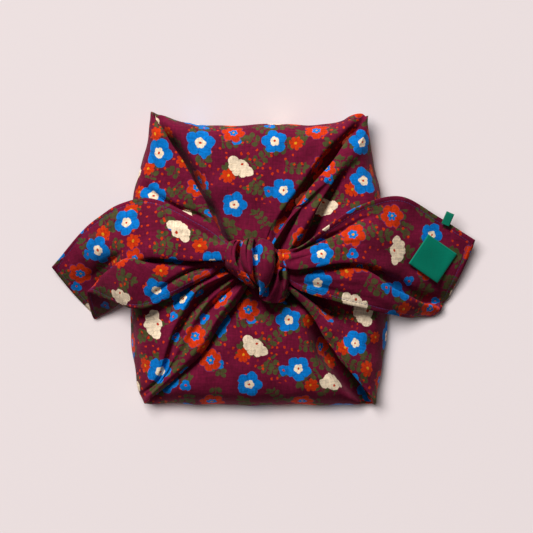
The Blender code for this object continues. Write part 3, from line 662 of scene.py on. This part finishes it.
class Measure:
    """A number or a place that changes over the cloth: one output of a node, which can be reckoned with."""

    def __init__(self, socket):
        self.socket, self.tree = socket, socket.id_data

    def step(self, operation, *others, clamp=False):
        node = self.tree.nodes.new("ShaderNodeMath")
        node.operation = operation
        node.use_clamp = clamp
        plug_all((self, *others), node.inputs)
        return Measure(node.outputs[0])

    __add__ = partialmethod(step, "ADD")
    __sub__ = partialmethod(step, "SUBTRACT")
    __mul__ = partialmethod(step, "MULTIPLY")
    __truediv__ = partialmethod(step, "DIVIDE")
    __abs__ = partialmethod(step, "ABSOLUTE")
    floor = partialmethod(step, "FLOOR")
    least = partialmethod(step, "MINIMUM")
    most = partialmethod(step, "MAXIMUM")

    def rest(self):
        """What is left of 1."""
        return self * -1.0 + 1.0

    def within(self, soft=RIM):
        """1 where the number is above nothing, 0 below, with an edge this soft."""
        return (self / soft).step("ADD", 0.5, clamp=True)

    def over(self, limit, soft=RIM):
        return (self - limit).within(soft)

    def under(self, limit, soft=RIM):
        return (self * -1.0 + limit).within(soft)

    def into(self, group, **values):
        """The results of a node group that takes this as its first input, and these values."""
        node = self.tree.nodes.new("ShaderNodeGroup")
        node.node_tree = group
        plug(self, node.inputs[0])
        plug_named(node.inputs, **values)
        return SimpleNamespace(**named(node.outputs))


def named(sockets):
    """Measures by name: from_edge stands for From edge."""
    return {socket.name.lower().replace(" ", "_"): Measure(socket) for socket in sockets if socket.name}


def spoken(name):
    return name.replace("_", " ").capitalize()


def plug(value, socket):
    """Joins a measure, or gives a plain number, to a socket."""
    if isinstance(value, Measure):
        socket.id_data.links.new(value.socket, socket)
    else:
        socket.default_value = value


def plug_all(values, sockets):
    for value, socket in zip(values, sockets):
        plug(value, socket)


def plug_named(sockets, **values):
    for name, value in values.items():
        plug(value, sockets[spoken(name)])


def length_of(x, y):
    return (x * x + y * y).step("SQRT")


def apart(place, kind="XYZ"):
    """The parts of a place, x, y and z, or of a colour."""
    node = place.tree.nodes.new("ShaderNodeSeparate" + kind)
    plug(place, node.inputs[0])
    return [Measure(part) for part in node.outputs]


def together(x, y, z=0.0):
    node = x.tree.nodes.new("ShaderNodeCombineXYZ")
    plug_all((x, y, z), node.inputs)
    return Measure(node.outputs[0])


def painted(share, below, above):
    """One colour laid over another, where share is 1."""
    node = share.tree.nodes.new("ShaderNodeMix")
    node.data_type = "RGBA"
    plug(share, node.inputs["Factor"])
    plug_all((below, above), node.inputs[6:8])
    return Measure(node.outputs[2])


def noise(place, scale, detail=2.0, roughness=0.5, output="Fac"):
    node = place.tree.nodes.new("ShaderNodeTexNoise")
    plug_named(node.inputs, vector=place, scale=scale, detail=detail, roughness=roughness)
    return Measure(node.outputs[output])


def add_socket(tree, way, name, usual=None):
    """A place is a vector, a colour is a colour, and all else is a number, with its usual value."""
    kind = {"place": "Vector", "colour": "Color"}.get(name, "Float")
    socket = tree.interface.new_socket(spoken(name), in_out=way, socket_type="NodeSocket" + kind)
    if usual is not None:
        socket.default_value = usual


def group(title, **inputs):
    """Makes a node group of the function below it, which takes these inputs and gives its results by name."""

    def build(draw):
        tree = bpy.data.node_groups.new(title, "ShaderNodeTree")
        for name, usual in inputs.items():
            add_socket(tree, "INPUT", name, usual)
        results = draw(**named(tree.nodes.new("NodeGroupInput").outputs))
        for name in results:
            add_socket(tree, "OUTPUT", name)
        plug_named(tree.nodes.new("NodeGroupOutput").inputs, **results)
        print("group:", title, len(tree.nodes), "nodes")
        return tree

    return build


# %% [markdown]
# ## Sowing motifs over the cloth
# A printed cloth repeats its motifs at even distances, yet never quite in rows. The cloth is divided
# into square plots, each column half a plot lower than the last, and each plot holds one motif, moved
# and turned by chance. The chance comes from the plot's own number, so each render has the same.

# %% A group that sows one motif to a plot
WHOLE_TURN = 6.28
SMALLEST, SIZE_RANGE = 0.90, 0.26


@group("sown in plots", place=None, pitch=0.03, wander=0.3, seed=0.0)
def sowing(place, pitch, wander, seed):
    x, y, _ = apart(place)
    column = (x / pitch).floor()
    lower = column.step("FLOORED_MODULO", 2.0) * 0.5
    row = (y / pitch + lower).floor()
    dice = place.tree.nodes.new("ShaderNodeTexWhiteNoise")
    dice.noise_dimensions = "3D"
    plug(together(column, row, seed), dice.inputs["Vector"])
    chance, dyes = map(Measure, dice.outputs)
    red, green, blue = apart(dyes, "Color")
    away_x = x - (column + 0.5 + (red - 0.5) * wander) * pitch
    away_y = y - (row + 0.5 - lower + (green - 0.5) * wander) * pitch
    angle = (blue - 0.5) * WHOLE_TURN
    cosine, sine = angle.step("COSINE"), angle.step("SINE")
    turned_x, turned_y = away_x * cosine - away_y * sine, away_x * sine + away_y * cosine
    smaller = (red + green * 3.0).step("FRACT") * SIZE_RANGE + SMALLEST
    kind = (column + row * 2.0).step("FLOORED_MODULO", 5.0)
    return {"place": together(turned_x * smaller, turned_y * smaller), "chance": chance, "kind": kind}


# %% [markdown]
# ## Drawing one flower
# Seen from above, a flower is a ring of round petals. The rim of a petal is part of a circle, so how far
# it is from the flower's middle follows from the angle. One group draws any such flower: five wide
# petals make a plum blossom, seven narrow ones a daisy.


# %% A group that draws a ring of round petals
@group("ring of petals", place=None, petals=5.0, reach=0.006, petal=0.004)
def blossom(place, petals, reach, petal):
    x, y, _ = apart(place)
    distance = length_of(x, y)
    whole = y.step("ARCTAN2", x) * petals / math.tau + 100.5
    from_petal = (whole.step("FRACT") - 0.5) * math.tau / petals
    beside = from_petal.step("SINE") * reach
    ahead = from_petal.step("COSINE") * reach
    rim = ahead + (petal * petal - beside * beside).most(0.0).step("SQRT")
    gap = abs(from_petal) * petals / math.pi
    return {"petals": (rim - distance).within(), "gaps": gap.over(0.93, 0.12), "distance": distance}


# %% [markdown]
# ## Leaves and berries
# Between the flowers run sprigs: a thin bent stem with pairs of round leaves, and orange berries dabbed
# in between. The leaf pairs repeat, so one leaf is drawn and the stem is folded over it.

# %% A group that draws a sprig
LEAF_PITCH = 0.0058
LEAF_ASIDE = 0.0029  # from the stem to the middle of a leaf
LEAF_SIZE = (0.0020, 0.0027)
TIP_SIZE = (0.0028, 0.0020)
LEAF_EDGE = 0.14  # how soft, as a share of the leaf
STEM_BEND = 22.0


@group("sprig", place=None, length=0.009)
def sprig(place, length):
    x, y, _ = apart(place)
    y = y - (x * x) * STEM_BEND
    aside = abs(y)
    on_stem = (length - abs(x)).within(0.0004)
    along = ((x / LEAF_PITCH).step("FRACT") - 0.5) * LEAF_PITCH
    away = aside - LEAF_ASIDE
    first, second = along * 0.75 - away * 0.66, along * 0.66 + away * 0.75
    leaves = length_of(first / LEAF_SIZE[0], second / LEAF_SIZE[1]).under(1.0, LEAF_EDGE) * on_stem
    tip = length_of((x - length) / TIP_SIZE[0], y / TIP_SIZE[1]).under(1.0, LEAF_EDGE)
    return {"leaves": leaves.most(tip), "stem": aside.under(0.0003) * on_stem}


# %% [markdown]
# ## The side-on bloom and the whole print
# The cream motif is a bloom seen from the side: round petals fanned out over a cup, on a short stalk.
# The print is then laid down as a printer does it, one screen of colour after another: a burgundy
# ground, sprigs and berries, small flowers, and last the large motifs. Two wobbles in the places, a
# slow one and a fine one, make every rim look drawn by hand. The motifs and their layout are this
# lesson's own.

# %% The print's colours and the group that draws it
BURGUNDY = (0.150, 0.0045, 0.028, 1)
DEEP_BURGUNDY = (0.098, 0.0025, 0.018, 1)
OLIVE = (0.058, 0.062, 0.018, 1)
ORANGE = (0.500, 0.028, 0.002, 1)
DEEP_ORANGE = (0.330, 0.014, 0.001, 1)
BLUE = (0.0, 0.145, 0.470, 1)
DEEP_BLUE = (0.0, 0.080, 0.310, 1)
CREAM = (0.780, 0.620, 0.440, 1)
TAN = (0.520, 0.370, 0.220, 1)
YELLOW = (0.600, 0.230, 0.008, 1)
LILAC = (0.150, 0.035, 0.140, 1)
HALF_TURN = 3.1416
# The side-on bloom, in metres up or down from the middle of its plot
STALK_DOWN, STALK_HALF_WIDTH, STALK_HALF_LENGTH = 0.0112, 0.0004, 0.0032
CALYX_DOWN, CALYX_WIDTH, CALYX_LENGTH = 0.0088, 0.0026, 0.0016
ROOT_DOWN = 0.0070  # where its petals spread from
PETAL_TURN = 0.56  # from one petal to the next, in radians
PETAL_REACH, PETAL_RADIUS = 0.0095, 0.0043
CUP_REACH, CUP_RADIUS = 0.0056, 0.0074
BLOOM_EYE_DOWN, BLOOM_EYE_RADIUS = 0.0048, 0.0012


def ring(place, petals, reach, petal):
    return place.into(blossom, petals=petals, reach=reach, petal=petal)


def flower(place, here, petals, dyes, lines, eye, heart=None, lines_from=None):
    """A flower's screens of colour, in order: its petals, the darker lines between them, a smaller ring as
    its heart, and its eye. A ring is how many petals, how far out they are, and their radius."""
    drawn = ring(place, *petals)
    shape = drawn.petals * here
    gaps = shape * drawn.gaps
    if lines_from:
        gaps = gaps * drawn.distance.over(lines_from, 0.0006)
    screens = [(shape, dyes[0]), (gaps * lines, dyes[1])]
    if heart:
        screens.append((ring(place, *heart[0]).petals * here, heart[1]))
    return screens + [(drawn.distance.under(eye[0]) * here, eye[1])]


def side_bloom(place, here):
    """The cream bloom's screens: its stalk and calyx, its shape, the lines between its petals, its eye."""
    x, y, _ = apart(place)
    stalk = abs(x).under(STALK_HALF_WIDTH) * abs(y + STALK_DOWN).under(STALK_HALF_LENGTH)
    calyx = length_of(x / CALYX_WIDTH, (y + CALYX_DOWN) / CALYX_LENGTH).under(1.0, 0.15)
    up = y + ROOT_DOWN
    opening = x.step("ARCTAN2", up)
    turn = (opening / PETAL_TURN).step("ROUND").least(2.0).most(-2.0) * PETAL_TURN
    side, ahead = turn.step("SINE") * PETAL_REACH, turn.step("COSINE") * PETAL_REACH
    petal = length_of(x - side, up - ahead).under(PETAL_RADIUS)
    cup = length_of(x, up - CUP_REACH).under(CUP_RADIUS)
    shape = petal.most(cup) * here
    lines = (abs((opening * (HALF_TURN / PETAL_TURN)).step("COSINE")) * -1.0 + 0.16) * length_of(x, up)
    lines = lines.within(0.0005) * up.over(0.0040, 0.001)
    eye = length_of(x, y + BLOOM_EYE_DOWN).under(BLOOM_EYE_RADIUS)
    green = stalk.most(calyx) * here
    return [(green, OLIVE), (shape, CREAM), (shape * lines * 0.45, TAN), (eye * here, ORANGE)]


@group("flower print", place=None)
def flower_print(place):
    still = place
    for scale, reach in ((150.0, 0.0030), (620.0, 0.0013)):
        moved = place.tree.nodes.new("ShaderNodeVectorMath")
        moved.operation = "MULTIPLY_ADD"
        plug_all((noise(still, scale, output="Color"), (reach, reach, 0.0), place), moved.inputs)
        place = Measure(moved.outputs[0])
    patches, bare = noise(still, 45.0, 3.0), noise(still, 16.0, 0.0)

    screens = []
    for seed, pitch, reach, share in ((3.0, 0.0262, 0.0088, 0.80), (11.0, 0.0215, 0.0062, 0.55)):
        sown = place.into(sowing, pitch=pitch, wander=0.25, seed=seed)
        drawn = sown.place.into(sprig, length=reach)
        leaves = drawn.leaves.most(drawn.stem) * sown.chance.under(share, CHOICE)
        screens.append((leaves * 0.94, OLIVE))
    sown = place.into(sowing, pitch=0.0062, wander=0.7, seed=5.0)
    here = sown.chance.under(0.62, CHOICE) * bare.under(0.50, CHOICE)
    berries = length_of(*apart(sown.place)[:2]).under(0.0011) * here

    sown = place.into(sowing, pitch=0.0275, wander=0.35, seed=7.0)
    daisy = flower(
        sown.place, sown.chance.under(0.42, CHOICE),
        petals=(7.0, 0.0045, 0.0019), dyes=(ORANGE, DEEP_ORANGE), lines=0.8, eye=(0.0012, YELLOW),
    )
    bell = flower(
        sown.place, sown.chance.over(0.70, CHOICE),
        petals=(3.0, 0.0021, 0.0027), dyes=(BLUE, DEEP_BLUE), lines=0.7, eye=(0.0010, ORANGE),
    )

    sown = place.into(sowing, pitch=0.0352, wander=0.30, seed=1.0)
    kind = sown.kind
    is_bloom = kind.under(0.5, CHOICE)
    is_star = kind.step("FLOORED_MODULO", 2.0).under(0.5, CHOICE) * kind.over(0.5, CHOICE)
    is_plum = (is_bloom + is_star).rest()
    plum = flower(
        sown.place, is_plum, petals=(5.0, 0.0064, 0.0051), dyes=(BLUE, DEEP_BLUE), lines=0.8,
        lines_from=0.0048, heart=((5.0, 0.0021, 0.0022), CREAM), eye=(0.0010, ORANGE),
    )
    halo = ring(sown.place, 6.0, 0.0062, 0.0042).petals * is_star * 0.55
    star = flower(
        sown.place, is_star, petals=(6.0, 0.0062, 0.0036), dyes=(ORANGE, DEEP_ORANGE), lines=0.8,
        lines_from=0.0036, heart=((6.0, 0.0026, 0.0013), BLUE), eye=(0.0010, YELLOW),
    )
    bloom = side_bloom(sown.place, is_bloom)

    colour = painted((patches - 0.5) * 2.4 + 0.4, BURGUNDY, DEEP_BURGUNDY)
    screens += [(berries, ORANGE), *daisy, *bell, *plum, (halo, LILAC), *star, *bloom]
    for share, dye in screens:
        colour = painted(share, colour, dye)
    ink = berries
    for shape, _ in (daisy[0], bell[0], plum[0], star[0], bloom[1]):
        ink = ink.most(shape)
    return {"colour": colour, "ink": ink}


# %% [markdown]
# ## Weave, stitches and the cloth's own material
# The cotton is a plain weave of fine, slightly uneven threads. Close by, they are a small relief and a
# change of tone: uneven slubs, and painted light on the threads' crowns with painted shade between them.
# From further off, a dry, matte surface. One row of stitches holds the hem. Two measures
# stored on each piece, how far off the sewn edge is and how far along it, say where each stitch lies.


# %% Groups for the weave and the stitches
@group("plain weave", place=None, thread=0.00045)
def weave(place, thread):
    x, y, _ = apart(place)
    waviness = noise(place, 300.0, 1.0) * 0.0005
    across, down = (((way + waviness) / thread * math.pi).step("SINE") for way in (x, y))
    over = (across * down).step("SIGN") * 0.5 + 0.5
    relief = abs(across) * over + abs(down) * over.rest()
    slubs = noise(together(x, y * 6.0), 110.0) + noise(together(x * 6.0, y), 110.0)
    # The tone is the uneven slubs, plus painted light and shade: lighter where the threads' relief is high,
    # darker between the threads.
    return {"relief": relief, "tone": slubs * 0.5 + relief * 0.2}


@group("row of stitches", hem=1.0, run=0.0, from_edge=0.0040, stitch=0.0026)
def stitches(hem, run, from_edge, stitch):
    away = abs(hem - from_edge)
    along = abs((run / stitch).step("FRACT") - 0.5)
    thread = away.under(0.00032) * along.under(0.36, 0.1)
    return {"thread": thread, "pull": away.under(0.0011, 0.0016)}


# %% The printed cotton
STITCH_BLUE = (0.050, 0.060, 0.220, 1)
# The wrong side's colour: its fainter print, and painted shade for the insides of the folds where it shows.
WRONG_SIDE_AND_FOLD_SHADE = (0.075, 0.012, 0.022, 1)


def new_material(name, constants):
    """A material and its shader, with the sockets that stay the same all over it."""
    material = bpy.data.materials.new(name)
    material.use_nodes = True
    shader = material.node_tree.nodes["Principled BSDF"]
    shader.inputs["Specular IOR Level"].default_value = 0.1
    for title, value in constants.items():
        shader.inputs[title].default_value = value
    return material, material.node_tree, shader


def measure_on(tree, name):
    node = tree.nodes.new("ShaderNodeAttribute")
    node.attribute_name = name
    return Measure(node.outputs["Fac"])


def cloth_place(tree):
    node = tree.nodes.new("ShaderNodeUVMap")
    node.uv_map = "cloth"
    return Measure(node.outputs[0])


def add_relief(shader, height):
    """Height in metres, as small relief."""
    bump = height.tree.nodes.new("ShaderNodeBump")
    plug_named(bump.inputs, strength=1.0, distance=1.0, height=height)
    plug(Measure(bump.outputs["Normal"]), shader.inputs["Normal"])


def make_printed_cotton():
    material, tree, shader = new_material("printed cotton", {"Sheen Weight": 0.03, "Sheen Roughness": 0.45})
    place = cloth_place(tree)
    drawn, woven = place.into(flower_print), place.into(weave)
    sewn = measure_on(tree, "hem").into(stitches, run=measure_on(tree, "run"))
    # The wrong side is mixed towards a dark colour: its print is fainter there, and the darkness is painted
    # shade for the insides of the folds.
    colour = painted(measure_on(tree, "wrong_side") * 0.35, drawn.colour, WRONG_SIDE_AND_FOLD_SHADE)
    colour = painted(sewn.thread * 0.45, colour, STITCH_BLUE)
    tone, brush = woven.tone - 0.5, noise(place, 420.0, 3.0, 0.6) - 0.5
    shade = tree.nodes.new("ShaderNodeHueSaturation")
    plug_named(shade.inputs, value=tone * 1.9 + brush * (drawn.ink * 0.3 + 0.6) + 0.97, color=colour)
    plug(Measure(shade.outputs[0]), shader.inputs["Base Color"])
    plug(tone * 0.2 + 0.80, shader.inputs["Roughness"])
    where = Measure(tree.nodes.new("ShaderNodeTexCoord").outputs["Object"])
    crumple = noise(where, 60.0, 4.0, 0.55) * 0.0011
    threads = woven.relief * 0.00005
    pulled = sewn.pull * -0.0003 + sewn.thread * 0.0002
    add_relief(shader, crumple + threads + pulled)
    return material


printed_cotton = make_printed_cotton()
for piece in (bundle, left_tail, right_tail, knot):
    piece.data.materials.append(printed_cotton)
print("material:", printed_cotton.name)

# %% [markdown]
# ## The label and the tab
# A square of woven green tape is sewn near the corner of the right tail, and a small loop of ribbon is
# caught in its hem. Both are laid on the tail from above: a ray dropped at each point finds the cloth,
# and the label follows it loosely, because it is stiffer.

# %% Laying the label on the tail
LABEL_SIDE = 29.5
LABEL_CENTRE = (145.8, 4.4)
LABEL_TURN = -34.0
LABEL_THICKNESS = 0.8
LABEL_FOLLOWS = 0.6  # how closely it follows the cloth, as a share
LABEL_GAP = 0.3
LABEL_LIFT = 1.6  # how far its loosest corner stands off
LABEL_EDGE = (0.35, 2.2, 0.25)  # what its turned edge adds, how wide it is, and over how far it fades
LABEL_POINTS = 27

bpy.context.view_layer.update()
tail_surface = BVHTree.FromObject(right_tail, bpy.context.evaluated_depsgraph_get())


def turned_square(centre, turn, width, height, points):
    """A grid of places seen from above, in millimetres."""
    turn, share = np.radians(turn), np.linspace(-0.5, 0.5, points)
    u, v = np.meshgrid(share * width, share * height)
    return centre[0] + u * np.cos(turn) - v * np.sin(turn), centre[1] + u * np.sin(turn) + v * np.cos(turn)


def cloth_height(x, y):
    """How high the tail's cloth lies below each place, in millimetres. Past its edge: not a number."""
    height = np.full(x.shape, np.nan)
    for place in np.ndindex(x.shape):
        hit = tail_surface.ray_cast(Vector((x[place] * MM, y[place] * MM, 1.0)), Vector((0, 0, -1)))[0]
        if hit is not None:
            height[place] = hit.z / MM
    return height


def tilted(x, y, height):
    """The plane that fits these heights best."""
    known = ~np.isnan(height)
    flat = np.column_stack([x[known], y[known], np.ones(known.sum())])
    slope_x, slope_y, level = np.linalg.lstsq(flat, height[known], rcond=None)[0]
    return slope_x * x + slope_y * y + level


def build_label():
    x, y = turned_square(LABEL_CENTRE, LABEL_TURN, LABEL_SIDE, LABEL_SIDE, LABEL_POINTS)
    cloth = cloth_height(x, y)
    loose = cloth * LABEL_FOLLOWS + tilted(x, y, cloth) * (1 - LABEL_FOLLOWS)
    lies = np.maximum(loose, cloth) + LABEL_GAP + LABEL_THICKNESS / 2
    share = np.linspace(0, 1, LABEL_POINTS)
    lift = LABEL_LIFT * np.outer((1 - share) ** 3, np.ones(LABEL_POINTS)) * (0.4 + 0.6 * share[None])
    grid = np.stack([x, y, lies + lift], axis=2) * MM
    near = np.minimum(share, 1 - share)
    from_edge = np.minimum(near[:, None], near[None]) * LABEL_SIDE
    adds, wide, fades = LABEL_EDGE
    turned_edge = adds / (1 + np.exp((from_edge - wide) / fades))
    thickness = LABEL_THICKNESS + turned_edge - 0.5 * np.exp(-from_edge / 0.3)
    along = np.where(near[:, None] < near[None], share[None], share[:, None]) * LABEL_SIDE * MM
    return two_sided("label", grid, thickness, from_edge * MM, along)


label, label_area = build_label()
print("label: area in square millimetres", round(label_area * 1e6))

# %% The tab of folded ribbon
TAB_WIDTH = 7.0
TAB_START = (156.2, 33.2)
TAB_TURN = 66.0
TAB_PROFILE = (  # how far out along the ribbon, and how high
    (-0.5, 0.62), (2.0, 0.66), (5.0, 0.78), (8.0, 0.75), (9.7, 0.6),
    (10.4, 0.1), (9.9, -0.55), (8.0, -0.62), (5.0, -0.55), (2.6, -0.35),
)
TAB_SEAT = (1.4, 2.4)  # how far out the middle of its seat on the hem is, and how long the seat is
TAB_LIFT = 1.45
RIBBON = 0.55
RIBBON_EDGE = 0.2  # how much thinner its edges are


def build_tab():
    """One ribbon, out from the hem and back under itself, with a flat loop at its end."""
    outline = smooth(np.array(TAB_PROFILE), 6)
    out = np.array([np.cos(np.radians(TAB_TURN)), np.sin(np.radians(TAB_TURN))])
    side = np.array([-out[1], out[0]])
    middle, long = TAB_SEAT
    seat_x, seat_y = turned_square(np.array(TAB_START) + out * middle, TAB_TURN, long, TAB_WIDTH, 5)
    seat = tilted(seat_x, seat_y, cloth_height(seat_x, seat_y))
    slope = (seat[2, 4] - seat[2, 0]) / long
    along, up = outline[:, :1], outline[:, 1:]
    across = np.linspace(-0.5, 0.5, 9) * TAB_WIDTH
    places = np.array(TAB_START) + out * along[..., None] + side * across[:, None]
    height = seat.max() + TAB_LIFT + slope * (along - middle) * 0.5 + up
    shape = (len(along), len(across))
    grid = np.concatenate([places, np.broadcast_to(height, shape)[..., None]], axis=2) * MM
    count = np.arange(len(across))
    edge = np.broadcast_to(np.minimum(count, count[::-1]) / count[-1] * TAB_WIDTH * MM, shape)
    run = np.broadcast_to(run_along(outline)[:, None] * MM, shape)
    tab, _ = two_sided("tab", grid, RIBBON - RIBBON_EDGE * (edge == 0), edge, run)
    return tab, run.max() / MM


tab, tab_length = build_tab()
print("tab: ribbon length in millimetres", round(tab_length, 1))

# %% [markdown]
# ## Green woven tape
# The label and the ribbon are woven closely from shiny thread, with fine ribs. The label's face is
# plain, its edges are turned, and a row of small, darker stitches holds it.

# %% Materials of the label and the tab
LABEL_GREEN = (0.0, 0.280, 0.172, 1)
LABEL_SHADE = (0.0, 0.160, 0.100, 1)
RIBBON_GREEN = (0.0, 0.205, 0.118, 1)
RIBBON_SHADE = (0.0, 0.085, 0.050, 1)


def make_tape(name, colour, shade, rib, stitch_place):
    material, tree, shader = new_material(name, {"Sheen Weight": 0.02})
    run = measure_on(tree, "run")
    woven = cloth_place(tree).into(weave, thread=0.00032)
    sewn = measure_on(tree, "hem").into(stitches, run=run, from_edge=stitch_place, stitch=0.0022)
    ribs = abs((run / rib * math.pi).step("SINE"))
    # Over the tape's colour go the weave's tone with its painted thread shade, painted shade in the grooves
    # between the ribs, and the darker stitches.
    for share in (woven.tone * 0.5, ribs.rest() * 0.35, sewn.thread * 0.7):
        colour = painted(share, colour, shade)
    plug(colour, shader.inputs["Base Color"])
    plug(woven.tone * 0.3 + 0.42, shader.inputs["Roughness"])
    add_relief(shader, ribs * 0.00007 + woven.relief * 0.00004 - sewn.pull * 0.00015)
    return material


label.data.materials.append(make_tape("label tape", LABEL_GREEN, LABEL_SHADE, 0.0011, 0.0014))
tab.data.materials.append(make_tape("tab ribbon", RIBBON_GREEN, RIBBON_SHADE, 0.0008, 0.0100))
print("materials:", [label.data.materials[0].name, tab.data.materials[0].name])

# %% The floor's paper
paper, _, paper_shader = new_material("pale paper", {"Roughness": 0.9})
paper_shader.inputs["Base Color"].default_value = (0.80, 0.712, 0.710, 1)
floor.data.materials.append(paper)
print("material:", floor.data.materials[0].name)

# %% [markdown]
# ## Joining the pieces to the part
# Nothing on a tied wrap moves on its own, so every piece rides on the one body. The printed pieces
# together stand for the one solid of cloth, and the label and the tab stand for theirs.

# %% Riding, standing in, and lit by the window
for piece in (bundle, knot, left_tail, right_tail):
    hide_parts("wrap_cloth")
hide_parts("sewn_label")
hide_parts("loop_tab")
for piece in (bundle, knot, left_tail, right_tail, label, tab):
    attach(piece, "root")
    lit_by_window.objects.link(piece)
